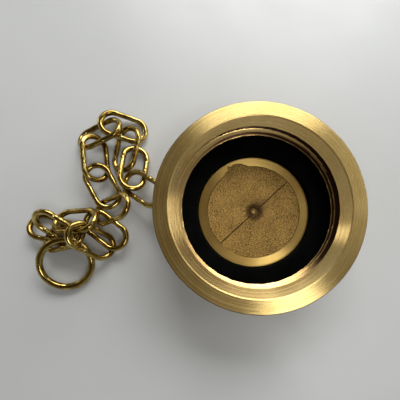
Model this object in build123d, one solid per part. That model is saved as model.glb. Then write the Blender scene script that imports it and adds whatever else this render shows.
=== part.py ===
from build123d import *
import os
import numpy as np

# Hose-thread cap in turned and cast brass, with a rubber face gasket and a retaining chain.
# Millimetres. Z is the cap's axis and points out of its open mouth. The closed crown rests on
# z = 0, and the chain lies beside the cap on the same surface.

# ---- cap body ----
CAP_HEIGHT = 32.0
FLANGE_R = 50.0
FLANGE_THICK = 10.0
SKIRT_R = 46.0
CROWN_R = 43.5
EDGE_BREAK = 0.9
CROWN_EDGE = 2.5

MOUTH_R = 43.05           # inner edge of the flat rim face
LEAD_IN_DEPTH = 6.7       # depth of the conical lead-in below the rim
LEAD_IN_R = 37.9          # its radius at that depth

THREAD_MINOR_R = 37.07    # crests of the internal thread, 2 1/2 inch hose thread
THREAD_MAJOR_R = 39.20
THREAD_PITCH = 25.4 / 7.5
ROOT_FLAT = 0.50
FIRST_GROOVE_DEPTH = 5.7
GROOVES = 3

RELIEF_R = 41.0           # undercut behind the thread, which also holds the gasket
RELIEF_TOP_DEPTH = 12.4
GASKET_SEAT_Z = 10.0
FLOOR_RING_Z = 12.0
FLOOR_RING_R = 29.4
CAST_DISC_Z = 11.8
CAST_DISC_R = 24.4
CENTRE_DIMPLE_R = 4.0
CENTRE_DIMPLE_DEPTH = 0.7
CENTRE_PIP_R = 1.1

CROWN_PAD_R = 14.0        # centre pad of the crown, level with its outer ring
CROWN_GROOVE_R = 34.0
CROWN_GROOVE_DEPTH = 3.5

# ---- lugs cast on the skirt ----
EYE_AZIMUTH = 170.0
EYE_RADIUS = 49.5         # cap axis to the chain hole
EYE_Z = 12.0
EYE_THICK = 4.0
EYE_OUTER_R = 4.5
EYE_HOLE_R = 2.75
SPANNER_LUG_AZIMUTHS = (80.0, 260.0)
SPANNER_LUG_REACH = 51.5
SPANNER_LUG_WIDTH = 14.0
SPANNER_LUG_BOTTOM = 6.0
SPANNER_LUG_TOP = 20.0

# ---- gasket ----
GASKET_OUTER_R = 40.5
GASKET_INNER_R = 29.7
GASKET_THICK = 5.0
GASKET_EDGE = 0.5

# ---- chain ----
WIRE = 3.1                # wire diameter of a link
LINK_LENGTH = 28.0        # outside
LINK_WIDTH = 16.0         # outside
WELD_R = 1.65
WELD_LENGTH = 2.4
RING_WIRE = 3.6
RING_OUTER = 30.0
BEND_R = (LINK_WIDTH - WIRE) / 2
HALF_STRAIGHT = (LINK_LENGTH - WIRE) / 2 - BEND_R
RING_R = (RING_OUTER - RING_WIRE) / 2

FIRST_LINK_YAW = 23.0     # how far the first link is turned aside in the eye
FIRST_LINK_DROOP = 17.0   # and how far it slopes down to the table

# How each later link is dropped on the table: centre x, y, z, then the compass direction of its
# long axis, its nose-up pitch and its roll, in degrees. They then settle until they clear.
DROPPED = (
    (-73, 22, 6, 85, -20, 20),
    (-69, 35, 5, 80, -5, -30),
    (-73, 48, 5.5, 173, 5, -5),
    (-87, 47, 5, 207, 0, 30),
    (-86, 31, 6, 270, 0, -40),
    (-84, 15, 6, -64, 0, 0),
    (-76, 1, 10, 207, -35, 25),
    (-83, -11, 7, -44, 5, -5),
    (-88, -14, 10, 168, 35, 0),
    (-94, -1, 12, 176, 0, 10),
    (-104, -10, 9, 150, 30, -30),
    (-108, -10, 5, 157, 0, 10),
    (-101, -13, 7, -7, 20, 5),
)
DROPPED_RING = (-101, -29, 6, 0, -5, 10)

LINK_GAP = 0.40           # left between any two wires
OUTLINE_POINTS = 72
SETTLE_STEPS = 400
SINK_STEP = 0.03          # how far a link sinks in one step
SINK_SHARE = 0.8          # share of the steps with sinking
FLOOR_STIFFNESS = 0.8
PUSH_STIFFNESS = 0.5
CONTACTS_PER_PAIR = 4
CONTACT_SPACING = 3.0
LINK_GYRATION_SQ = 81.0
RING_GYRATION_SQ = 100.0


# ---------------------------------------------------------------- cap body

def ring_solid(r_in, r_out, z_low, z_high):
    """A plain turned ring, or a disc where r_in is 0."""
    section = Polyline((r_in, 0, z_low), (r_out, 0, z_low), (r_out, 0, z_high), (r_in, 0, z_high), close=True)
    return revolve(make_face(section), Axis.Z)


def cap_blank():
    """The outside of the cap as one turned shape, still solid inside."""
    flange_low = CAP_HEIGHT - FLANGE_THICK
    outline = Polyline(
        (0, 0, 0),
        (CROWN_R - CROWN_EDGE, 0, 0),
        (CROWN_R, 0, CROWN_EDGE),
        (SKIRT_R, 0, flange_low),
        (FLANGE_R - EDGE_BREAK, 0, flange_low),
        (FLANGE_R, 0, flange_low + EDGE_BREAK),
        (FLANGE_R, 0, CAP_HEIGHT - EDGE_BREAK),
        (FLANGE_R - EDGE_BREAK, 0, CAP_HEIGHT),
        (0, 0, CAP_HEIGHT),
        close=True,
    )
    return revolve(make_face(outline), Axis.Z)


def lead_in():
    """The cone that leads the male thread in, from the rim's inner edge down."""
    cone = Polyline(
        (0, 0, CAP_HEIGHT - LEAD_IN_DEPTH),
        (LEAD_IN_R, 0, CAP_HEIGHT - LEAD_IN_DEPTH),
        (MOUTH_R, 0, CAP_HEIGHT),
        (0, 0, CAP_HEIGHT),
        close=True,
    )
    return revolve(make_face(cone), Axis.Z)


def thread_groove(depth):
    """One 60 degree groove, with a flat root, centred at this depth below the rim."""
    z = CAP_HEIGHT - depth
    mouth_r = THREAD_MINOR_R - 1.0
    half_mouth = ROOT_FLAT / 2 + (THREAD_MAJOR_R - mouth_r) * np.tan(np.radians(30))
    section = Polyline(
        (mouth_r, 0, z - half_mouth),
        (THREAD_MAJOR_R, 0, z - ROOT_FLAT / 2),
        (THREAD_MAJOR_R, 0, z + ROOT_FLAT / 2),
        (mouth_r, 0, z + half_mouth),
        close=True,
    )
    return revolve(make_face(section), Axis.Z)


def cavity():
    """All that is turned out of the mouth: lead-in, thread, relief, gasket seat and floor."""
    relief_top = CAP_HEIGHT - RELIEF_TOP_DEPTH
    space = ring_solid(0, THREAD_MINOR_R, FLOOR_RING_Z, CAP_HEIGHT)
    space += lead_in()
    for turn in range(GROOVES):
        space += thread_groove(FIRST_GROOVE_DEPTH + turn * THREAD_PITCH)
    space += ring_solid(0, RELIEF_R, FLOOR_RING_Z, relief_top)
    space += ring_solid(FLOOR_RING_R, RELIEF_R, GASKET_SEAT_Z, FLOOR_RING_Z)
    space += ring_solid(0, CAST_DISC_R, CAST_DISC_Z, FLOOR_RING_Z)
    return space


def centre_dimple():
    """The shallow dished mark left in the middle of the cast disc."""
    section = Polyline(
        (0, 0, CAST_DISC_Z - CENTRE_DIMPLE_DEPTH),
        (CENTRE_DIMPLE_R, 0, CAST_DISC_Z),
        (0, 0, CAST_DISC_Z + 0.01),
        close=True,
    )
    return revolve(make_face(section), Axis.Z)


def chain_eye():
    """The upright plate on the skirt that the first link hangs in."""
    root = Pos(SKIRT_R - 3 + (EYE_RADIUS - SKIRT_R + 3) / 2, 0, EYE_Z) * Box(
        EYE_RADIUS - SKIRT_R + 3, EYE_THICK, 2 * EYE_OUTER_R
    )
    nose = Pos(EYE_RADIUS, 0, EYE_Z) * Rot(90, 0, 0) * Cylinder(EYE_OUTER_R, EYE_THICK)
    hole = Pos(EYE_RADIUS, 0, EYE_Z) * Rot(90, 0, 0) * Cylinder(EYE_HOLE_R, 3 * EYE_THICK)
    return Rot(0, 0, EYE_AZIMUTH) * (root + nose), Rot(0, 0, EYE_AZIMUTH) * hole


def spanner_lug(azimuth):
    """A cast block on the skirt that a spanner bears on."""
    inner = SKIRT_R - 4
    block = Box(SPANNER_LUG_REACH - inner, SPANNER_LUG_WIDTH, SPANNER_LUG_TOP - SPANNER_LUG_BOTTOM)
    block = fillet(block.edges().filter_by(Axis.Z).group_by(Axis.X)[-1], 3)
    middle = (SPANNER_LUG_REACH + inner) / 2, 0, (SPANNER_LUG_TOP + SPANNER_LUG_BOTTOM) / 2
    return Rot(0, 0, azimuth) * Pos(*middle) * block


def cap_body():
    eye, eye_hole = chain_eye()
    body = cap_blank() + eye
    for azimuth in SPANNER_LUG_AZIMUTHS:
        body += spanner_lug(azimuth)
    body -= cavity()
    body -= centre_dimple()
    body += Pos(0, 0, CAST_DISC_Z - CENTRE_DIMPLE_DEPTH) * Sphere(CENTRE_PIP_R)
    body -= ring_solid(CROWN_PAD_R, CROWN_GROOVE_R, 0, CROWN_GROOVE_DEPTH)
    return body - eye_hole


def gasket():
    """Flat rubber washer that drops behind the thread on to its seat."""
    low, high = GASKET_SEAT_Z, GASKET_SEAT_Z + GASKET_THICK
    section = Polyline(
        (GASKET_INNER_R, 0, low),
        (GASKET_OUTER_R, 0, low),
        (GASKET_OUTER_R, 0, high - GASKET_EDGE),
        (GASKET_OUTER_R - GASKET_EDGE, 0, high),
        (GASKET_INNER_R + GASKET_EDGE, 0, high),
        (GASKET_INNER_R, 0, high - GASKET_EDGE),
        close=True,
    )
    return revolve(make_face(section), Axis.Z)


# ---------------------------------------------------------------- how the chain lies

def turned(heading, pitch, roll):
    """Rotation matrix whose columns are a link's long axis, its side and its normal."""
    h, p, r = np.radians([heading, pitch, roll])
    about_z = np.array([[np.cos(h), -np.sin(h), 0], [np.sin(h), np.cos(h), 0], [0, 0, 1]])
    about_y = np.array([[np.cos(p), 0, -np.sin(p)], [0, 1, 0], [np.sin(p), 0, np.cos(p)]])
    about_x = np.array([[1, 0, 0], [0, np.cos(r), -np.sin(r)], [0, np.sin(r), np.cos(r)]])
    return about_z @ about_y @ about_x


def small_turn(vector):
    """Rotation matrix of a turn about this vector, by its length in radians."""
    angle = np.linalg.norm(vector)
    if angle < 1e-12:
        return np.eye(3)
    x, y, z = vector / angle
    cross = np.array([[0, -z, y], [z, 0, -x], [-y, x, 0]])
    return np.eye(3) + np.sin(angle) * cross + (1 - np.cos(angle)) * cross @ cross


def oval_outline():
    """Points along the centre line of a link, evenly spaced."""
    straight, bend = 2 * HALF_STRAIGHT, np.pi * BEND_R
    points = []
    for k in range(OUTLINE_POINTS):
        along = (k + 0.5) / OUTLINE_POINTS * 2 * (straight + bend)
        side = 1 if along < straight + bend else -1
        along -= 0 if side > 0 else straight + bend
        if along < straight:
            points.append((side * (along - HALF_STRAIGHT), -side * BEND_R, 0))
        else:
            angle = (along - straight) / BEND_R - np.pi / 2
            points.append((side * (HALF_STRAIGHT + BEND_R * np.cos(angle)), side * BEND_R * np.sin(angle), 0))
    return np.array(points)


def ring_outline():
    angles = (np.arange(OUTLINE_POINTS) + 0.5) / OUTLINE_POINTS * 2 * np.pi
    return np.stack([RING_R * np.cos(angles), RING_R * np.sin(angles), 0 * angles], 1)


def eye_frame():
    """The chain eye's hole centre, the outward direction and the hole's direction."""
    a = np.radians(EYE_AZIMUTH)
    out = np.array([np.cos(a), np.sin(a), 0])
    along = np.array([np.sin(a), -np.cos(a), 0])
    return EYE_RADIUS * out + np.array([0, 0, EYE_Z]), out, along


def first_link_place():
    """The link in the eye: its bend runs through the hole, square to the plate."""
    hole, out, along = eye_frame()
    droop, yaw = np.radians(FIRST_LINK_DROOP), np.radians(FIRST_LINK_YAW)
    down_out = np.cos(droop) * out - np.sin(droop) * np.array([0, 0, 1])
    long_axis = np.cos(yaw) * down_out + np.sin(yaw) * along
    normal = np.cross(down_out, along)
    side = np.cross(normal, long_axis)
    centre = hole + BEND_R * down_out + HALF_STRAIGHT * long_axis
    return centre, np.stack([long_axis, side, normal], 1)


class Loop:
    """A rigid link or ring as it settles: its place, its turn and its centre line."""

    def __init__(self, centre, turn, outline, wire, gyration_sq, mobility):
        self.centre = np.array(centre, float)
        self.turn = turn
        self.outline = outline
        self.wire = wire
        self.gyration_sq = gyration_sq
        self.mobility = mobility

    def line(self):
        return self.outline @ self.turn.T + self.centre

    def yielding(self, point, normal):
        lever = np.cross(point - self.centre, normal)
        return self.mobility * (1 + lever @ lever / self.gyration_sq)

    def move(self, point, normal, push):
        if self.mobility:
            lever = np.cross(point - self.centre, normal)
            self.turn = small_turn(lever * push / self.gyration_sq) @ self.turn
            self.centre = self.centre + push * normal


def push_apart(a, b):
    """Move two loops apart wherever their wires come closer than the gap."""
    reach = (a.wire + b.wire) / 2 + LINK_GAP
    line_a, line_b = a.line(), b.line()
    clear = line_a.min(0) > line_b.max(0) + reach
    clear |= line_b.min(0) > line_a.max(0) + reach
    if clear.any():
        return
    distance = np.linalg.norm(line_a[:, None] - line_b[None], axis=-1)
    for _ in range(CONTACTS_PER_PAIR):
        i, j = np.unravel_index(distance.argmin(), distance.shape)
        nearest = distance[i, j]
        if nearest >= reach:
            return
        normal = (line_a[i] - line_b[j]) / nearest
        give = a.yielding(line_a[i], normal) + b.yielding(line_b[j], normal)
        push = PUSH_STIFFNESS * (reach - nearest) / give
        a.move(line_a[i], normal, push)
        b.move(line_b[j], normal, -push)
        distance[np.linalg.norm(line_a - line_a[i], axis=1) < CONTACT_SPACING] = np.inf


def lift_off_table(loop):
    """Raise a loop where its wire is below the table."""
    up = np.array([0.0, 0.0, 1.0])
    for _ in range(2):
        line = loop.line()
        lowest = line[line[:, 2].argmin()]
        depth = loop.wire / 2 - lowest[2]
        if depth > 0:
            loop.move(lowest, up, FLOOR_STIFFNESS * depth / loop.yielding(lowest, up))


def settle(loops):
    """Let the dropped loops sink and push each other apart until every wire is clear."""
    moving = [loop for loop in loops if loop.mobility]
    for step in range(SETTLE_STEPS):
        if step < SINK_SHARE * SETTLE_STEPS:
            for loop in moving:
                loop.centre[2] -= SINK_STEP
        for i, a in enumerate(loops):
            for b in loops[i + 1:]:
                push_apart(a, b)
        for loop in moving:
            lift_off_table(loop)


def chain_layout():
    """Every link and the end ring, from the cap outwards, as they come to lie."""
    oval = oval_outline()
    centre, turn = first_link_place()
    loops = [Loop(centre, turn, oval, WIRE, LINK_GYRATION_SQ, 0.0)]
    for x, y, z, heading, pitch, roll in DROPPED:
        loops.append(Loop((x, y, z), turned(heading, pitch, roll), oval, WIRE, LINK_GYRATION_SQ, 1.0))
    x, y, z, heading, pitch, roll = DROPPED_RING
    loops.append(Loop((x, y, z), turned(heading, pitch, roll), ring_outline(), RING_WIRE, RING_GYRATION_SQ, 1.0))
    settle(loops)
    return loops


# ---------------------------------------------------------------- chain solids

def link_solid():
    """One welded oval link, with its weld bead halfway along one side."""
    link = None
    for side in (1, -1):
        bar = Pos(0, side * BEND_R, 0) * Rot(0, 90, 0) * Cylinder(WIRE / 2, 2 * HALF_STRAIGHT)
        half_ring = Torus(BEND_R, WIRE / 2, major_angle=180, align=None)
        bend = Pos(side * HALF_STRAIGHT, 0, 0) * Rot(0, 0, -90 * side) * half_ring
        link = bar + bend if link is None else link + bar + bend
    bead = Cylinder(WELD_R, WELD_LENGTH)
    bead = fillet(bead.edges(), 0.3)
    return link + Pos(0, BEND_R, 0) * Rot(0, 90, 0) * bead


def placed(solid, loop):
    """The solid moved from its own frame to where its loop lies."""
    long_axis, normal = loop.turn[:, 0], loop.turn[:, 2]
    plane = Plane(origin=tuple(loop.centre), x_dir=tuple(long_axis), z_dir=tuple(normal))
    return plane * solid


LAYOUT = chain_layout()


def all_nodes():
    nodes = {"cap_body": cap_body(), "gasket": gasket()}
    link = link_solid()
    for number, loop in enumerate(LAYOUT[:-1], start=1):
        nodes[f"chain_link_{number:02d}"] = placed(link, loop)
    nodes["end_ring"] = placed(Torus(RING_R, RING_WIRE / 2), LAYOUT[-1])
    return nodes


os.makedirs("parts", exist_ok=True)
for name, solid in all_nodes().items():
    solid.label = name
    export_step(solid, f"parts/{name}.step")
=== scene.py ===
import math

import bpy
import numpy as np
from mathutils import Matrix, Vector


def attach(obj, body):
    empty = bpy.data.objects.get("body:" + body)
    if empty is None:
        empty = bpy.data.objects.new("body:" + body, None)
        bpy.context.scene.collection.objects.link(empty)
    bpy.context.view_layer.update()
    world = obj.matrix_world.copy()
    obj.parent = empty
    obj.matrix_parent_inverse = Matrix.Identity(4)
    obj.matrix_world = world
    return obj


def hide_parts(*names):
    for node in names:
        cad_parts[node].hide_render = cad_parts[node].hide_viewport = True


# Looks of a brass hose-thread cap with its rubber gasket and its plated chain.
# Sizes are in millimetres and MM turns them into the metres of the scene. Noise scales are
# per metre. The table, the lights and the camera's place are in metres.
MM = 0.001

# ---- cap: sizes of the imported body, three of them drawn larger, and its softened edges ----
CAP_HEIGHT = 32.0
FLANGE_R = 50.0
FLANGE_LOW = 22.0
FLANGE_ROUND = 0.5
EDGE_BREAK = 0.9
SKIRT_R = 46.0
NECK_FILLET = 1.2
CROWN_R = 43.5
CROWN_EDGE = 2.5
MOUTH_R = 43.05
MOUTH_ROUND = 0.2
LEAD_IN_DEPTH = 6.7
LEAD_IN_R = 37.9
THREAD_MINOR_R = 37.07
THREAD_MAJOR_R = 39.8  # larger than in the body
THREAD_PITCH = 25.4 / 7.5
THREAD_FLANK = math.radians(30)
ROOT_FLAT = 0.5
FIRST_GROOVE_DEPTH = 5.7
RELIEF_R = 41.0
RELIEF_TOP = 19.6
GASKET_SEAT_Z = 10.0
FLOOR_RING_Z = 12.0
FLOOR_RING_R = 29.4
CAST_DISC_Z = 11.8
CAST_DISC_R = 24.4
DIMPLE_R = 4.6  # larger than in the body
DIMPLE_DEPTH = 0.7
PIP_R = 1.8  # larger than in the body
PIP_HEIGHT = 0.75
PIP_SPREAD = 0.4
PIP_FLANK = 0.9
CROWN_PAD_R = 14.0
CROWN_GROOVE_R = 34.0
CROWN_GROOVE_DEPTH = 3.5
EYE_AZIMUTH = math.radians(170)
EYE_RADIUS = 49.5
EYE_Z = 12.0
EYE_THICK = 4.0
EYE_OUTER_R = 4.5
EYE_HOLE_R = 2.75
EYE_ROOT_DEPTH = 3
EYE_ROOT_SPREAD = 1.6
# rounded edges of the eye: how far in from the side, and how far below the face
EYE_ROUNDING = ((0.0, 0.5), (0.15, 0.15), (0.5, 0.0))
LUG_AZIMUTHS = (math.radians(80), math.radians(260))
LUG_REACH = 51.5
LUG_INSET = 0.15
LUG_HALF_WIDTH = 7.0
LUG_LOW = 6.0
LUG_HIGH = 20.0
LUG_FLANK = 1.6

# ---- marks on the cap: the seam, the ragged edge and the sand of the cast disc, and painted shade in the thread grooves ----
SEAM_TURN = math.radians(42.7)
SEAM_OFFSET = -0.54
SEAM_HALF_WIDTH = 0.22
SEAM_DEPTH = 0.3
SEAM_WAVER = 0.05
SEAM_INNER_R = 3.5
SEAM_OUTER_R = 24.2
SAND_GRAIN = 0.03
DISC_STEP = 0.3
# where the disc runs out past its radius: how far, and start, rise, end and fall in degrees
MISSED_REACH = 2.7
MISSED_STRETCH = (94, 15, 122, 2)
LEDGE_REACH = 0.9
LEDGE_STRETCH = (118, 2, 129, 3)
MISSED_RAGGED = 0.3
EDGE_WAVER = 0.05
GROOVE_SHOWS = 0.18
# painted shade: the thread grooves are darkened beyond this radius, most on the side towards this
# azimuth (upper right)
GROOVE_SHADE_FROM_R = 37.45
SHADED_SIDE_AZIMUTH = math.radians(40)

# ---- gasket ----
GASKET_OUTER_R = 40.5
GASKET_INNER_R = 29.7
GASKET_TOP = 15.0
GASKET_ROUND = 0.6
GASKET_SAG = 0.12

# ---- chain ----
WIRE_R = 1.55
LINK_BEND_R = 6.45
LINK_HALF_STRAIGHT = 6.0
BEAD_R = 1.65
BEAD_HALF_LENGTH = 1.2
BEAD_FLANK = 0.5
RING_R = 13.2
RING_WIRE_R = 1.8
RING_WELD_AT = 2.0
RING_WELD_WIDTH = 0.25
RING_WELD_DEPTH = 0.10
LINK_DENTS = 0.22
BEND_DENT_SHARE = 0.1
DENT_FADE = 2.5
RING_DENTS = 0.03
LINKS = 14

# ---- fineness of the meshes ----
COLUMNS = 480
DISC_ROWS = 120
THREAD_ROW = 0.11
SKIRT_ROW = 0.4
AXIS_R = 0.02
EYE_COLUMNS = 72
WIRE_COLUMNS = 24
LINK_PART_ROWS = 36
RING_ROWS = 192
DENT_CELL = 3

# ---- table, light and camera ----
TABLE_HALF = 3.0
TABLE_LEVEL = -0.00005
WALLS = (0.46, 0.48, 0.50)
CEILING = (0.060, 0.043, 0.022)
# name, azimuth and elevation in degrees, distance, width and height, watts
SOFT_BOXES = (
    ("key", 80, 38, 1.0, (0.85, 0.4), 7.8),
    ("side_key", 40, 34, 1.0, (0.3, 0.3), 0.6),
    ("front_box", 313, 62, 1.0, (0.30, 0.24), 1.45),
    ("top_box", 66, 68, 1.0, (0.22, 0.22), 0.2),
    ("side_box", 15, 60, 1.0, (0.35, 0.35), 0.2),
    ("back_window", 74, 14, 1.1, (0.5, 0.22), 1.2),
    ("right_window", 16, 14, 1.1, (0.42, 0.25), 1.9),
    ("left_window", 150, 14, 1.1, (0.22, 0.25), 0.38),
)
CAMERA_AT = (-0.025, -0.021, 0.158)
CAMERA_TILT = math.radians(4.0)
CAMERA_LEAN = math.radians(-1.1)
LENS = 24.93
SENSOR = 36.0
SHIFT = (-0.03, 0.079)
NEAREST = 0.005

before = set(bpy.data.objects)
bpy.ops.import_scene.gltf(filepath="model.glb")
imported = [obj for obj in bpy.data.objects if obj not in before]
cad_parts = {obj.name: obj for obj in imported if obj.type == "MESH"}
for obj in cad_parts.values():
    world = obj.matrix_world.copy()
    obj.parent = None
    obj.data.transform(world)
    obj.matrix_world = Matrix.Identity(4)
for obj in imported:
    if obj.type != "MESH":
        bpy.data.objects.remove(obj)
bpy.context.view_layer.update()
rng = np.random.default_rng(7)


# ---------------------------------------------------------------- node helpers

def new_material(name):
    material = bpy.data.materials.new(name)
    material.use_nodes = True
    tree = material.node_tree
    return material, tree, tree.nodes["Principled BSDF"]


def add(tree, kind, **inputs):
    """A new node; keyword names are its sockets."""
    node = tree.nodes.new(kind)
    for key, value in inputs.items():
        node.inputs[key].default_value = value
    return node


def feed(tree, socket, value):
    """Sets a socket to a number or a colour, or links another node's output to it."""
    if isinstance(value, (int, float)):
        socket.default_value = value
    elif isinstance(value, tuple):
        socket.default_value = (*value, 1.0)
    else:
        tree.links.new(value, socket)


def maths(tree, operation, *values):
    node = tree.nodes.new("ShaderNodeMath")
    node.operation = operation
    for socket, value in zip(node.inputs, values):
        feed(tree, socket, value)
    return node.outputs[0]


def plus(tree, a, b):
    return maths(tree, "ADD", a, b)


def times(tree, a, b):
    return maths(tree, "MULTIPLY", a, b)


def split_up(tree, vector):
    """The x, y and z of a vector."""
    node = tree.nodes.new("ShaderNodeSeparateXYZ")
    tree.links.new(vector, node.inputs[0])
    return tuple(node.outputs)


def ramp(tree, source, stops):
    """A colour ramp over (position, colour) stops."""
    node = tree.nodes.new("ShaderNodeValToRGB")
    elements = node.color_ramp.elements
    while len(elements) < len(stops):
        elements.new(0.5)
    for element, (position, colour) in zip(elements, stops):
        element.position = position
        element.color = (*colour, 1.0)
    tree.links.new(source, node.inputs[0])
    return node.outputs[0]


def grey_ramp(tree, source, stops):
    return ramp(tree, source, [(position, (grey, grey, grey)) for position, grey in stops])


def mix_colour(tree, factor, a, b):
    node = tree.nodes.new("ShaderNodeMix")
    node.data_type = "RGBA"
    # the factor and the two colours of the node, whose other sockets are for numbers and vectors
    sockets = (node.inputs[0], node.inputs[6], node.inputs[7])
    for socket, value in zip(sockets, (factor, a, b)):
        feed(tree, socket, value)
    return node.outputs[2]


def noise_on(tree, vector, scale, detail=4.0, roughness=0.55):
    node = add(tree, "ShaderNodeTexNoise", Scale=scale, Detail=detail, Roughness=roughness)
    tree.links.new(vector, node.inputs["Vector"])
    return node.outputs["Fac"]


def ring_noise(tree, distance, per_metre):
    """Noise that is the same all round the axis, as the lathe leaves it."""
    node = add(tree, "ShaderNodeTexNoise", Scale=1.0, Detail=2.0, Roughness=0.6)
    node.noise_dimensions = "1D"
    tree.links.new(times(tree, distance, per_metre), node.inputs["W"])
    return node.outputs[0]


def place(tree):
    return tree.nodes.new("ShaderNodeTexCoord").outputs["Object"]


def axis_distance(tree, position):
    """Distance from the cap's axis."""
    x, y, _ = split_up(tree, position)
    return maths(tree, "SQRT", plus(tree, times(tree, x, x), times(tree, y, y)))


def bump(tree, shader, heights):
    """Chains bumps, given as (height, depth in metres, strength)."""
    normal = None
    for height, depth, strength in heights:
        node = add(tree, "ShaderNodeBump", Strength=strength, Distance=depth)
        tree.links.new(height, node.inputs["Height"])
        if normal is not None:
            tree.links.new(normal, node.inputs["Normal"])
        normal = node.outputs[0]
    tree.links.new(normal, shader.inputs["Normal"])


def dress(tree, shader, colour, roughness, metallic):
    feed(tree, shader.inputs["Base Color"], colour)
    feed(tree, shader.inputs["Roughness"], roughness)
    shader.inputs["Metallic"].default_value = metallic


def scaled(colour, factor):
    return tuple(min(1.0, channel * factor) for channel in colour)


# ---------------------------------------------------------------- turned brass

FINE_MARKS = 9000.0  # noise along the radius, per metre
BROAD_MARKS = 900.0
ROUGHNESS_SPAN = 0.14
# painted shade in the thread grooves: how fast it rises with depth, and its colour
GROOVE_SHADE_SLOPE = 2200.0  # rise of the painted groove shade per metre of groove depth
GROOVE_SHADE = (0.032, 0.012, 0.008)


def painted_shade_side(tree, position):
    """Painted shade: 1 on the upper-right side of the bore, where the thread grooves lie in shade,
    little on the other side.
    """
    x, y, _ = split_up(tree, position)
    across = times(tree, x, math.cos(SHADED_SIDE_AZIMUTH))
    along = times(tree, y, math.sin(SHADED_SIDE_AZIMUTH))
    share = times(tree, plus(tree, across, along), 1 / (THREAD_MINOR_R * MM))
    from_far_side = plus(tree, times(tree, share, 0.5), 0.5)
    return grey_ramp(tree, from_far_side, [(0.35, 0.2), (0.6, 1.0)])


def groove_shade_beyond(tree, position, distance, start_r):
    """How much painted shade the thread grooves get, rising with the depth of the groove beyond this
    radius.
    """
    depth = times(tree, maths(tree, "SUBTRACT", distance, start_r * MM), GROOVE_SHADE_SLOPE)
    deep = grey_ramp(tree, depth, [(0.0, 0.0), (1.0, 0.97)])
    return times(tree, deep, painted_shade_side(tree, position))


def turned_brass(name, light, dark, rough, streak, shaded_from=None):
    """Brass turned on a lathe: concentric tool marks, radial sheen, and painted shade in the grooves
    if asked for.
    """
    material, tree, shader = new_material(name)
    at = place(tree)
    distance = axis_distance(tree, at)
    fine = ring_noise(tree, distance, FINE_MARKS)
    broad = ring_noise(tree, distance, BROAD_MARKS)
    cloud = noise_on(tree, at, 60.0)
    spots = noise_on(tree, at, 900.0, detail=6.0)
    tone = plus(tree, times(tree, fine, 0.3), times(tree, cloud, 0.7))
    colour = ramp(tree, tone, [(0.30, dark), (0.62, light)])
    specks = grey_ramp(tree, spots, [(0.70, 0.0), (0.78, 1.0)])
    colour = mix_colour(tree, times(tree, specks, 0.2), colour, scaled(dark, 0.35))
    if shaded_from:
        # painted shade darkens the thread grooves
        colour = mix_colour(tree, groove_shade_beyond(tree, at, distance, shaded_from), colour, GROOVE_SHADE)
    wear = plus(tree, times(tree, broad, ROUGHNESS_SPAN), rough - ROUGHNESS_SPAN / 2)
    dress(tree, shader, colour, wear, metallic=1.0)
    shader.inputs["Anisotropic"].default_value = streak
    shader.inputs["Anisotropic Rotation"].default_value = 0.25
    tangent = tree.nodes.new("ShaderNodeTangent")
    tangent.direction_type = "RADIAL"
    tangent.axis = "Z"
    tree.links.new(tangent.outputs[0], shader.inputs["Tangent"])
    bump(tree, shader, [(fine, 0.00002, 0.15), (broad, 0.00004, 0.12)])
    return material


# ---------------------------------------------------------------- cast brass

SPOT = ((0.0, 1.0), (0.35, 0.75), (1.0, 0.0))
HALO = ((0.3, 0.15), (0.48, 1.0), (0.72, 0.85), (1.0, 0.0))
# painted shade along the seam of the cast floor: its half width and colour
SEAM_SHADE_HALF_WIDTH = 0.45
SEAM_SHADE = (0.05, 0.022, 0.008)
SMUDGE = (0.06, 0.028, 0.01)
# painted shade in a ring round the dimple
DIMPLE_SHADE = (0.065, 0.032, 0.010)
# painted highlight on the pip
PIP_HIGHLIGHT = (0.46, 0.30, 0.11)


def near_point(tree, position, x, y, reach, profile=SPOT):
    """A mark about this point of the floor (millimetres) that ends at the reach; it carries the
    smudge, the painted shade round the dimple and the painted highlight on the pip.
    """
    away = tree.nodes.new("ShaderNodeVectorMath")
    away.operation = "DISTANCE"
    tree.links.new(position, away.inputs[0])
    away.inputs[1].default_value = (x * MM, y * MM, CAST_DISC_Z * MM)
    share = times(tree, away.outputs["Value"], 1 / (reach * MM))
    return grey_ramp(tree, share, profile)


def seam_shade(tree, position):
    """Painted shade: 1 along the seam of the cast floor, ending a little way to either side of it."""
    x, y, _ = split_up(tree, position)
    right = times(tree, x, -math.sin(SEAM_TURN))
    up = times(tree, y, math.cos(SEAM_TURN))
    off = maths(tree, "SUBTRACT", plus(tree, right, up), SEAM_OFFSET * MM)
    share = times(tree, maths(tree, "ABSOLUTE", off), 1 / (SEAM_SHADE_HALF_WIDTH * MM))
    return grey_ramp(tree, share, [(0.25, 0.85), (1.0, 0.0)])


def floor_stains_and_painted_light(tree, position, colour):
    """A smudge of dirt on the cast floor, painted shade in the seam and round the centre mark, and a
    painted highlight on the pip.
    """
    smudge = near_point(tree, position, 2.2, 1.4, 6.0)
    # masks for the painted shade round the dimple and the painted highlight on the pip
    dimple = near_point(tree, position, 0.2, -0.3, 5.3, HALO)
    pip = near_point(tree, position, 0.2, -0.4, 2.3)
    # painted shade along the seam
    colour = mix_colour(tree, seam_shade(tree, position), colour, SEAM_SHADE)
    colour = mix_colour(tree, times(tree, smudge, 0.75), colour, SMUDGE)
    # painted shade in a ring round the dimple
    colour = mix_colour(tree, times(tree, dimple, 0.8), colour, DIMPLE_SHADE)
    # painted highlight on the pip
    return mix_colour(tree, pip, colour, PIP_HIGHLIGHT)


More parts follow.
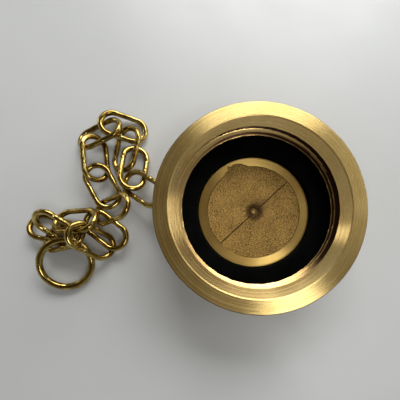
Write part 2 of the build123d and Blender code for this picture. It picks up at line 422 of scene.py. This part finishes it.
def cast_brass(name, light, dark, grain, depth, pitting, marked_and_shaded=False):
    """As-cast brass: the sand's grain, pits and a dull uneven tone."""
    material, tree, shader = new_material(name)
    at = place(tree)
    sand = noise_on(tree, at, grain, detail=5.0, roughness=0.7)
    pits = add(tree, "ShaderNodeTexVoronoi", Scale=grain * 0.9)
    tree.links.new(at, pits.inputs["Vector"])
    cloud = noise_on(tree, at, 110.0)
    tone = plus(tree, times(tree, sand, 0.85), times(tree, cloud, 0.15))
    colour = ramp(tree, tone, [(0.40, dark), (0.52, light), (0.68, scaled(light, 1.35))])
    hollow = grey_ramp(tree, pits.outputs["Distance"], [(0.12, 1.0), (0.36, 0.0)])
    colour = mix_colour(tree, times(tree, hollow, pitting), colour, scaled(dark, 0.4))
    # the cast floor's smudge, with its painted shade and painted highlight
    if marked_and_shaded:
        colour = floor_stains_and_painted_light(tree, at, colour)
    dress(tree, shader, colour, grey_ramp(tree, sand, [(0.3, 0.75), (0.7, 0.52)]), metallic=0.85)
    bump(tree, shader, [(sand, depth, 0.9), (hollow, -depth * 0.6, 0.5)])
    return material


# ---------------------------------------------------------------- rubber, plating, table top

def rubber(name):
    """Matt black rubber."""
    material, tree, shader = new_material(name)
    at = place(tree)
    skin = noise_on(tree, at, 1500.0, detail=5.0)
    cloud = noise_on(tree, at, 90.0)
    colour = ramp(tree, cloud, [(0.35, (0.001, 0.0013, 0.001)), (0.68, (0.003, 0.0033, 0.003))])
    dress(tree, shader, colour, grey_ramp(tree, skin, [(0.3, 0.62), (0.7, 0.82)]), metallic=0.0)
    shader.inputs["Specular IOR Level"].default_value = 0.03
    bump(tree, shader, [(skin, 0.00008, 0.4), (cloud, 0.0003, 0.2)])
    return material


def plated_wire(name):
    """Bright gold-coloured plating over drawn and hammered wire, with small stains."""
    material, tree, shader = new_material(name)
    at = place(tree)
    dents = noise_on(tree, at, 520.0, detail=2.0)
    fine = noise_on(tree, at, 2600.0)
    cloud = noise_on(tree, at, 140.0)
    worn, gold, bright = (0.18, 0.105, 0.018), (0.42, 0.30, 0.08), (0.66, 0.52, 0.19)
    colour = ramp(tree, cloud, [(0.34, worn), (0.56, gold), (0.74, bright)])
    stain = grey_ramp(tree, fine, [(0.62, 0.0), (0.80, 1.0)])
    colour = mix_colour(tree, times(tree, stain, 0.4), colour, (0.20, 0.10, 0.03))
    dress(tree, shader, colour, grey_ramp(tree, fine, [(0.35, 0.06), (0.75, 0.15)]), metallic=1.0)
    bump(tree, shader, [(dents, 0.0004, 0.12), (fine, 0.00005, 0.2)])
    return material


def pale_table_top(name):
    """A pale grey, slightly glossy top with fine scuffs."""
    material, tree, shader = new_material(name)
    at = place(tree)
    cloud = noise_on(tree, at, 7.0)
    scuffs = noise_on(tree, at, 45.0, detail=8.0, roughness=0.7)
    colour = ramp(tree, cloud, [(0.3, (0.585, 0.60, 0.595)), (0.7, (0.645, 0.66, 0.655))])
    dress(tree, shader, colour, grey_ramp(tree, scuffs, [(0.3, 0.30), (0.7, 0.42)]), metallic=0.0)
    bump(tree, shader, [(scuffs, 0.0002, 0.1)])
    return material


# ---------------------------------------------------------------- materials

RIM_BRASS = turned_brass(
    "brass_turned", light=(0.89, 0.66, 0.265), dark=(0.68, 0.465, 0.155), rough=0.29, streak=0.9)
RING_BRASS = turned_brass(
    "brass_floor_ring", light=(0.88, 0.60, 0.19), dark=(0.64, 0.40, 0.10), rough=0.31, streak=0.82)
CONE_BRASS = turned_brass(
    "brass_cone", light=(0.88, 0.645, 0.265), dark=(0.64, 0.43, 0.15), rough=0.27, streak=0.8)
# darker brass than the cone's, as painted shade in the thread grooves; deeper grooves get more
# painted shade on top
THREAD_SHADED_BRASS = turned_brass(
    "brass_thread_painted_shade", light=(0.70, 0.47, 0.19), dark=(0.45, 0.28, 0.10), rough=0.28, streak=0.5,
    shaded_from=GROOVE_SHADE_FROM_R)
# near-black brass: painted shade for the gasket's channel, the relief wall and the step round the
# cast disc
RELIEF_SHADE_BRASS = turned_brass(
    "brass_relief_painted_shade", light=(0.10, 0.05, 0.03), dark=(0.04, 0.02, 0.015), rough=0.5, streak=0.2)
# dark brass on the flange's rounded corner: a painted line of shade round the rim's edge
EDGE_SHADE_BRASS = turned_brass(
    "brass_edge_painted_shade", light=(0.26, 0.15, 0.055), dark=(0.14, 0.075, 0.025), rough=0.38, streak=0.3)
FLOOR_BRASS = cast_brass(
    "brass_cast_floor", light=(0.47, 0.295, 0.085), dark=(0.060, 0.030, 0.008), grain=1850.0,
    depth=0.00030, pitting=0.7, marked_and_shaded=True)
OUTSIDE_BRASS = cast_brass(
    "brass_cast_outside", light=(0.50, 0.33, 0.12), dark=(0.33, 0.20, 0.07), grain=1300.0,
    depth=0.00022, pitting=0.25)
RUBBER = rubber("gasket_rubber")
PLATED = plated_wire("chain_plating")
TABLE = pale_table_top("table_top")

# the cap's materials, in the order of its slots
CAP_LOOKS = (
    FLOOR_BRASS, RING_BRASS, RELIEF_SHADE_BRASS, THREAD_SHADED_BRASS,
    CONE_BRASS, RIM_BRASS, EDGE_SHADE_BRASS, OUTSIDE_BRASS,
)
DISC, RING, RELIEF, THREAD, CONE, RIM, EDGE, OUTSIDE = range(len(CAP_LOOKS))


# ---------------------------------------------------------------- mesh helpers

ANGLE = np.arange(COLUMNS) * 2 * np.pi / COLUMNS


def grid_object(name, points, materials, slots=0, close_rows=False):
    """A mesh from points[row, column] in millimetres, closed round the columns."""
    rows, columns = points.shape[:2]
    index = np.arange(rows * columns).reshape(rows, columns)
    low = index if close_rows else index[:-1]
    high = np.roll(index, -1, axis=0) if close_rows else index[1:]
    faces = np.stack([low, np.roll(low, -1, 1), np.roll(high, -1, 1), high], axis=-1)
    mesh = bpy.data.meshes.new(name)
    mesh.from_pydata((points.reshape(-1, 3) * MM).tolist(), [], faces.reshape(-1, 4).tolist())
    for material in materials:
        mesh.materials.append(material)
    face_slots = np.broadcast_to(slots, (rows, columns))[: len(low)]
    mesh.polygons.foreach_set("material_index", face_slots.ravel().astype(np.int32))
    mesh.polygons.foreach_set("use_smooth", np.ones(len(mesh.polygons), bool))
    mesh.set_sharp_from_angle(angle=math.radians(32))
    mesh.validate()
    piece = bpy.data.objects.new(name, mesh)
    bpy.context.scene.collection.objects.link(piece)
    return piece


class Rows:
    """Collects the rows of a turned surface, each a radius and a height round the axis."""

    def __init__(self):
        self.radius, self.height, self.slot = [], [], []

    def add(self, radius, height, slot=0):
        self.radius.append(np.broadcast_to(radius, ANGLE.shape))
        self.height.append(np.broadcast_to(height, ANGLE.shape))
        self.slot.append(np.broadcast_to(slot, ANGLE.shape))

    def line(self, start, end, count, slot=0, with_start=True):
        for share in np.linspace(0, 1, count)[0 if with_start else 1:]:
            radius = start[0] + (end[0] - start[0]) * share
            self.add(radius, start[1] + (end[1] - start[1]) * share, slot)

    def arc(self, centre, radius, start, end, count, slot=0):
        """A rounded edge; angles in radians, 0 away from the axis and a quarter turn upwards."""
        for turn in np.linspace(start, end, count):
            self.add(centre[0] + radius * math.cos(turn), centre[1] + radius * math.sin(turn), slot)

    def points(self):
        radius, height = np.array(self.radius, float), np.array(self.height, float)
        return np.stack([radius * np.cos(ANGLE), radius * np.sin(ANGLE), height], axis=-1)


def wavy(angle, waves, size):
    """A fixed irregular curve round the axis, made of a few random waves."""
    total = np.zeros_like(angle)
    for count in waves:
        total += np.sin(count * angle + rng.uniform(0, 2 * np.pi)) * rng.uniform(0.4, 1.0)
    return size * total / math.sqrt(len(waves))


def smooth_step(x):
    x = np.clip(x, 0, 1)
    return x * x * (3 - 2 * x)


def angle_from(angle, middle):
    """How far each angle is from the middle one, whichever way round is shorter."""
    return np.abs((angle - middle + np.pi) % (2 * np.pi) - np.pi)


# ---------------------------------------------------------------- cap

SEAM_AXES = np.array([
    [math.cos(SEAM_TURN), math.sin(SEAM_TURN)],
    [-math.sin(SEAM_TURN), math.cos(SEAM_TURN)],
])


def stretch(start, rise, end, fall):
    """1 from one angle to another, easing in over the rise and out over the fall (degrees)."""
    degrees = np.degrees(ANGLE)
    return smooth_step((degrees - start) / rise) * smooth_step((end - degrees) / fall)


def disc_edge():
    """Where the sandy disc meets the turned ring: ragged where the tool missed the casting."""
    ragged = wavy(ANGLE, (31, 53, 79, 113), MISSED_RAGGED)
    missed = stretch(*MISSED_STRETCH) * (MISSED_REACH + ragged)
    ledge = stretch(*LEDGE_STRETCH) * (LEDGE_REACH + ragged)
    return CAST_DISC_R + missed + ledge + wavy(ANGLE, (5, 11, 29), EDGE_WAVER)


def sand_height(x, y):
    """Height of the cast disc: dished centre with a pip, and the seam the core left."""
    from_axis = np.hypot(x, y)
    dimple = DIMPLE_DEPTH * smooth_step((DIMPLE_R - from_axis) / DIMPLE_R)
    pip = PIP_HEIGHT * smooth_step((PIP_R + PIP_SPREAD - from_axis) / PIP_FLANK)
    along, across = SEAM_AXES @ np.array([x, y])
    across = across - SEAM_OFFSET - SEAM_WAVER * np.sin(along * 0.9)
    seam = np.exp(-((across / SEAM_HALF_WIDTH) ** 2))
    clear = smooth_step(from_axis - SEAM_INNER_R) * smooth_step((SEAM_OUTER_R - from_axis) / 0.8)
    return pip - dimple - SEAM_DEPTH * seam * clear


def floor_rows(rows):
    """The sandy disc, the step up to the turned ring round it and the ring itself."""
    edge = disc_edge()
    for share in np.linspace(0, 1, DISC_ROWS):
        radius = np.maximum(edge * share, AXIS_R)
        x, y = radius * np.cos(ANGLE), radius * np.sin(ANGLE)
        grain = rng.normal(0, SAND_GRAIN, ANGLE.shape) * (share > 0.04)
        rows.add(radius, CAST_DISC_Z + sand_height(x, y) + grain, DISC)
    # the step's groove takes the relief's near-black brass: a painted dark line of shade
    rows.add(edge + 0.05, CAST_DISC_Z - 0.12, RELIEF)
    rows.add(edge + 0.22, FLOOR_RING_Z - 0.06, RING)
    inner = edge + DISC_STEP
    rows.add(inner, FLOOR_RING_Z, RING)
    for share in np.linspace(0.15, 1, 7):
        rows.add(inner + (FLOOR_RING_R - 0.5 - edge) * share, FLOOR_RING_Z, RING)
    rows.add(FLOOR_RING_R, FLOOR_RING_Z - 0.25, RING)


def seat_rows(rows):
    """The channel that the gasket lies in and the relief above it, both in near-black brass that is
    painted shade.
    """
    inner, outer = (FLOOR_RING_R, GASKET_SEAT_Z), (RELIEF_R, GASKET_SEAT_Z)
    rows.line((FLOOR_RING_R, FLOOR_RING_Z - 0.5), inner, 3, RELIEF)
    rows.line(inner, outer, 6, RELIEF, with_start=False)
    rows.line(outer, (RELIEF_R, RELIEF_TOP), 8, RELIEF, with_start=False)


def thread_radius(z):
    """The threaded wall all round at this height, and where it is groove.

    The groove is a right-hand helix cut into the bore and the cone above it.
    """
    start = CAP_HEIGHT - FIRST_GROOVE_DEPTH
    offset = (z - start - THREAD_PITCH * ANGLE / (2 * np.pi)) % THREAD_PITCH
    offset = np.minimum(offset, THREAD_PITCH - offset)
    groove = THREAD_MAJOR_R - np.maximum(offset - ROOT_FLAT / 2, 0) / math.tan(THREAD_FLANK)
    up_cone = (z - CAP_HEIGHT + LEAD_IN_DEPTH) / LEAD_IN_DEPTH
    cone = LEAD_IN_R + (MOUTH_R - LEAD_IN_R) * up_cone if up_cone > 0 else 0
    clean = max(THREAD_MINOR_R, cone)
    return np.maximum(groove, clean), groove > clean + GROOVE_SHOWS


def wall_rows(rows):
    """The threaded bore and the cone that leads into it, up to the mouth."""
    for z in np.arange(RELIEF_TOP, CAP_HEIGHT - MOUTH_ROUND, THREAD_ROW):
        radius, in_groove = thread_radius(z)
        rows.add(radius, z, np.where(in_groove, THREAD, CONE))


def flange_rows(rows):
    """The turned rim: rounded at the mouth and outside, with a broken edge below."""
    mouth = (MOUTH_R + MOUTH_ROUND, CAP_HEIGHT - MOUTH_ROUND)
    corner = (FLANGE_R - FLANGE_ROUND, CAP_HEIGHT - FLANGE_ROUND)
    rows.arc(mouth, MOUTH_ROUND, math.pi, math.pi / 2, 4, RIM)
    rows.line((MOUTH_R + 0.3, CAP_HEIGHT), (FLANGE_R - 0.55, CAP_HEIGHT), 12, RIM)
    # the outer rounding takes the dark brass: painted shade along the rim's edge
    rows.arc(corner, FLANGE_ROUND, math.pi / 2 - 0.2, 0, 5, EDGE)
    rows.line((FLANGE_R, CAP_HEIGHT - 0.8), (FLANGE_R, FLANGE_LOW + EDGE_BREAK), 6, RIM)
    rows.line((FLANGE_R - 0.3, FLANGE_LOW + 0.35), (FLANGE_R - EDGE_BREAK, FLANGE_LOW), 3, RIM)


def lug_radius(radius, z):
    """The skirt's radius with the two cast spanner lugs on it."""
    out = np.full_like(ANGLE, radius)
    above = smooth_step((z - LUG_LOW) / LUG_FLANK + 0.5)
    below = smooth_step((LUG_HIGH - z) / LUG_FLANK + 0.5)
    for azimuth in LUG_AZIMUTHS:
        across = angle_from(ANGLE, azimuth) * LUG_REACH
        beside = smooth_step((LUG_HALF_WIDTH - across) / LUG_FLANK + 0.5)
        out += (LUG_REACH - LUG_INSET - radius) * above * below * beside
    return out


def skirt_rows(rows):
    """The cast outside: under the flange, down the skirt with its lugs and round the edge."""
    neck = SKIRT_R + NECK_FILLET
    slope = (SKIRT_R - CROWN_R) / (FLANGE_LOW - CROWN_EDGE)
    rows.line((FLANGE_R - 1.2, FLANGE_LOW), (neck, FLANGE_LOW), 3, OUTSIDE)
    quarter = math.pi / 2
    rows.arc((neck, FLANGE_LOW - NECK_FILLET), NECK_FILLET, quarter + 0.2, quarter + 1.4, 4, OUTSIDE)
    for z in np.arange(FLANGE_LOW - NECK_FILLET, CROWN_EDGE, -SKIRT_ROW):
        rows.add(lug_radius(CROWN_R + slope * (z - CROWN_EDGE), z), z, OUTSIDE)
    rows.arc((CROWN_R - CROWN_EDGE, CROWN_EDGE), CROWN_EDGE, 0, -quarter, 6, OUTSIDE)


def crown_rows(rows):
    """The crown that the cap rests on: two turned faces with a cast groove between them."""
    lip, lip_height = 0.6, 0.5
    foot, foot_height = 1.2, CROWN_GROOVE_DEPTH - 0.8
    lean = 0.4
    rows.line((CROWN_R - CROWN_EDGE - 1, 0), (CROWN_GROOVE_R + lip, 0), 4, RIM)
    rows.line((CROWN_GROOVE_R, lip_height), (CROWN_GROOVE_R - lean, foot_height), 4, OUTSIDE)
    outer = (CROWN_GROOVE_R - foot, CROWN_GROOVE_DEPTH)
    rows.line(outer, (CROWN_PAD_R + foot, CROWN_GROOVE_DEPTH), 24, OUTSIDE)
    rows.line((CROWN_PAD_R + lean, foot_height), (CROWN_PAD_R, lip_height), 4, OUTSIDE)
    rows.line((CROWN_PAD_R - lip, 0), (AXIS_R, 0), 12, RIM)


def build_cap():
    """The casting without its eye: one surface, from the middle of the floor to that of the crown."""
    rows = Rows()
    for part in (floor_rows, seat_rows, wall_rows, flange_rows, skirt_rows, crown_rows):
        part(rows)
    return grid_object("cap_casting", rows.points(), CAP_LOOKS, np.array(rows.slot))


def build_eye():
    """The plate on the skirt with the hole the first link hangs in, swept round the hole."""
    turns = np.linspace(0, 2 * np.pi, EYE_COLUMNS + 1)[:-1]
    away, up = np.cos(turns), np.sin(turns)
    root = SKIRT_R - EYE_ROOT_DEPTH - EYE_RADIUS
    spread = np.where(away > 0, 1, EYE_ROOT_SPREAD)
    out_x = np.where(away > 0, EYE_OUTER_R * away, root)
    out_y = np.clip(EYE_OUTER_R * up * spread, -EYE_OUTER_R, EYE_OUTER_R)
    hole_x, hole_y = EYE_HOLE_R * away, EYE_HOLE_R * up
    half = EYE_THICK / 2
    rings = []
    for inset, drop in EYE_ROUNDING:
        rings.append((out_x - inset * away, out_y - inset * up, half - drop))
    for inset, drop in reversed(EYE_ROUNDING):
        rings.append((hole_x + inset * away, hole_y + inset * up, half - drop))
    rings += [(x, y, -level) for x, y, level in reversed(rings)]
    points = np.zeros((len(rings), len(turns), 3))
    for row, (x, y, level) in enumerate(rings):
        points[row] = np.stack([EYE_RADIUS + x, np.full_like(x, -level), EYE_Z + y], axis=-1)
    cos, sin = math.cos(EYE_AZIMUTH), math.sin(EYE_AZIMUTH)
    points = points @ np.array([[cos, sin, 0], [-sin, cos, 0], [0, 0, 1]])
    return grid_object("chain_eye", points, (OUTSIDE_BRASS,), close_rows=True)


# ---------------------------------------------------------------- gasket

def build_gasket():
    """A flat ring with rounded edges whose top face sags a little."""
    rows = Rows()
    soft = GASKET_ROUND
    shoulder = GASKET_TOP - soft
    outer, inner = GASKET_OUTER_R - soft, GASKET_INNER_R + soft
    rows.line((GASKET_OUTER_R, GASKET_SEAT_Z), (GASKET_OUTER_R, shoulder), 4)
    rows.arc((outer, shoulder), soft, 0.2, math.pi / 2, 5)
    for share in np.linspace(0.05, 0.95, 14):
        rows.add(outer - (outer - inner) * share, GASKET_TOP - GASKET_SAG * math.sin(math.pi * share))
    rows.arc((inner, shoulder), soft, math.pi / 2, math.pi - 0.2, 5)
    rows.line((GASKET_INNER_R, shoulder), (GASKET_INNER_R, GASKET_SEAT_Z), 4)
    rows.line((GASKET_INNER_R + 0.5, GASKET_SEAT_Z), (GASKET_OUTER_R - 0.5, GASKET_SEAT_Z), 3)
    return grid_object("face_gasket", rows.points(), (RUBBER,), close_rows=True)


# ---------------------------------------------------------------- chain

def own_axes(node):
    """Centre (millimetres) and axes (long, side, normal) of a packed loop, from its own surface."""
    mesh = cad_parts[node].data
    mesh.calc_loop_triangles()
    corners = np.zeros(len(mesh.vertices) * 3)
    mesh.vertices.foreach_get("co", corners)
    corners = corners.reshape(-1, 3)
    picks = np.zeros(len(mesh.loop_triangles) * 3, int)
    mesh.loop_triangles.foreach_get("vertices", picks)
    triangles = corners[picks.reshape(-1, 3)]
    first, second, third = triangles.transpose(1, 0, 2)
    area = np.linalg.norm(np.cross(second - first, third - first), axis=1) / 2
    middle = triangles.mean(axis=1)
    centre = (area[:, None] * middle).sum(0) / area.sum()
    triangles, middle = triangles - centre, middle - centre
    # twelve times the second moment of each triangle, summed
    spread = np.einsum("t,tki,tkj->ij", area, triangles, triangles)
    spread += 9 * np.einsum("t,ti,tj->ij", area, middle, middle)
    axes = np.linalg.eigh(spread)[1][:, ::-1]
    axes[:, 2] = np.cross(axes[:, 0], axes[:, 1])
    local = (corners - centre) @ axes
    centre = centre + axes @ ((local.max(0) + local.min(0)) / 2)
    return centre / MM, axes


def swept_loop(name, centre, axes, path, outward, radius):
    """A closed wire: path and outward are per station, radius per station and point round it."""
    turns = np.linspace(0, 2 * np.pi, radius.shape[1] + 1)[:-1]
    up = np.array([0.0, 0.0, 1.0])
    offset = outward[:, None] * np.cos(turns)[None, :, None] + up * np.sin(turns)[None, :, None]
    points = path[:, None] + offset * radius[..., None]
    return grid_object(name, centre + points @ axes.T, (PLATED,), close_rows=True)


def hammered(stations, depth):
    """Smooth random dents, only ever inwards, that join up both ways round the loop."""
    cells = rng.uniform(0, 1, (stations // DENT_CELL, WIRE_COLUMNS // DENT_CELL))
    dents = np.repeat(np.repeat(cells, DENT_CELL, axis=0), DENT_CELL, axis=1)
    for axis in (0, 1, 0, 1):
        dents = (np.roll(dents, 1, axis) + 2 * dents + np.roll(dents, -1, axis)) / 4
    return -depth * dents


def link_path():
    """The wire's centre line and its outward side: bend, straight, bend, straight."""
    share = np.linspace(0, 1, LINK_PART_ROWS + 1)[:-1]
    turn = np.pi * share
    bend = np.stack([np.sin(turn), np.cos(turn)], axis=-1)
    along = np.stack([LINK_HALF_STRAIGHT * (1 - 2 * share), np.zeros_like(share)], axis=-1)
    side = np.stack([np.zeros_like(share), np.ones_like(share)], axis=-1)
    shift = np.array([LINK_HALF_STRAIGHT, 0])
    path = np.concatenate([
        bend * LINK_BEND_R + shift,
        along - side * LINK_BEND_R,
        -bend * LINK_BEND_R - shift,
        side * LINK_BEND_R - along,
    ])
    outward = np.concatenate([bend, -side, -bend, side])
    flat = ((0, 0), (0, 1))
    return np.pad(path, flat), np.pad(outward, flat)


def build_link(name, node):
    """A welded link, dented along its straights, with the weld's bead on one of them."""
    centre, axes = own_axes(node)
    path, outward = link_path()
    x, y = path[:, 0], path[:, 1]
    on_bar = smooth_step((LINK_HALF_STRAIGHT + 1.5 - np.abs(x)) / DENT_FADE)
    dented = BEND_DENT_SHARE + (1 - BEND_DENT_SHARE) * on_bar
    radius = WIRE_R + hammered(len(path), LINK_DENTS) * dented[:, None]
    bead = smooth_step((BEAD_HALF_LENGTH - np.abs(x)) / BEAD_FLANK + 0.5) * (y > 0)
    radius += (BEAD_R - WIRE_R) * bead[:, None]
    return swept_loop(name, centre, axes, path, outward, radius)


def build_ring(name, node):
    """The round end ring, with a fine groove at its weld."""
    centre, axes = own_axes(node)
    turn = np.linspace(0, 2 * np.pi, RING_ROWS + 1)[:-1]
    outward = np.stack([np.cos(turn), np.sin(turn), np.zeros_like(turn)], axis=-1)
    from_weld = angle_from(turn, RING_WELD_AT) * RING_R
    weld = RING_WELD_DEPTH * np.exp(-((from_weld / RING_WELD_WIDTH) ** 2))
    radius = RING_WIRE_R + hammered(len(turn), RING_DENTS) - weld[:, None]
    return swept_loop(name, centre, axes, outward * RING_R, outward, radius)


# ---------------------------------------------------------------- build

cap = build_cap()
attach(cap, "cap")
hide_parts("cap_body")

eye = build_eye()
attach(eye, "cap")

seal = build_gasket()
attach(seal, "cap")
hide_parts("gasket")

for number in range(1, LINKS + 1):
    link = build_link(f"link_{number:02d}_wire", f"chain_link_{number:02d}")
    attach(link, f"link_{number:02d}")
    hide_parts(f"chain_link_{number:02d}")

ring = build_ring("end_ring_wire", "end_ring")
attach(ring, "end_ring")
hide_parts("end_ring")


# ---------------------------------------------------------------- table, light, camera

def build_table():
    """The table top, a hair below the crown so that the two faces do not lie in one plane."""
    corners = []
    for x, y in ((-1, -1), (1, -1), (1, 1), (-1, 1)):
        corners.append((x * TABLE_HALF, y * TABLE_HALF, TABLE_LEVEL))
    mesh = bpy.data.meshes.new("table")
    mesh.from_pydata(corners, [], [(0, 1, 2, 3)])
    mesh.materials.append(TABLE)
    floor = bpy.data.objects.new("table", mesh)
    bpy.context.scene.collection.objects.link(floor)


def area_light(name, azimuth, elevation, distance, size, power):
    """A soft box that faces the cap from this compass direction and height."""
    light = bpy.data.lights.new(name, "AREA")
    light.shape = "RECTANGLE"
    light.size, light.size_y = size
    light.energy = power
    lamp = bpy.data.objects.new(name, light)
    turn, rise = math.radians(azimuth), math.radians(elevation)
    flat = math.cos(rise)
    away = Vector((flat * math.cos(turn), flat * math.sin(turn), math.sin(rise)))
    lamp.location = away * distance
    lamp.rotation_euler = away.to_track_quat("Z", "Y").to_euler()
    bpy.context.scene.collection.objects.link(lamp)


def build_world():
    """A room with pale walls and a dim, warm ceiling."""
    world = bpy.data.worlds.new("room")
    world.use_nodes = True
    tree = world.node_tree
    direction = tree.nodes.new("ShaderNodeTexCoord").outputs["Generated"]
    height = split_up(tree, direction)[2]
    colour = ramp(tree, height, [(0.0, WALLS), (0.9, CEILING)])
    tree.links.new(colour, tree.nodes["Background"].inputs["Color"])
    bpy.context.scene.world = world


def build_camera():
    data = bpy.data.cameras.new("camera")
    data.lens = LENS
    data.sensor_width = SENSOR
    data.shift_x, data.shift_y = SHIFT
    data.clip_start = NEAREST
    camera = bpy.data.objects.new("camera", data)
    turn = Matrix.Rotation(CAMERA_LEAN, 4, "Y") @ Matrix.Rotation(CAMERA_TILT, 4, "X")
    camera.matrix_world = Matrix.Translation(CAMERA_AT) @ turn
    bpy.context.scene.collection.objects.link(camera)
    bpy.context.scene.camera = camera


build_table()
for box in SOFT_BOXES:
    area_light(*box)
build_world()
build_camera()
bpy.context.scene.view_settings.view_transform = "Standard"
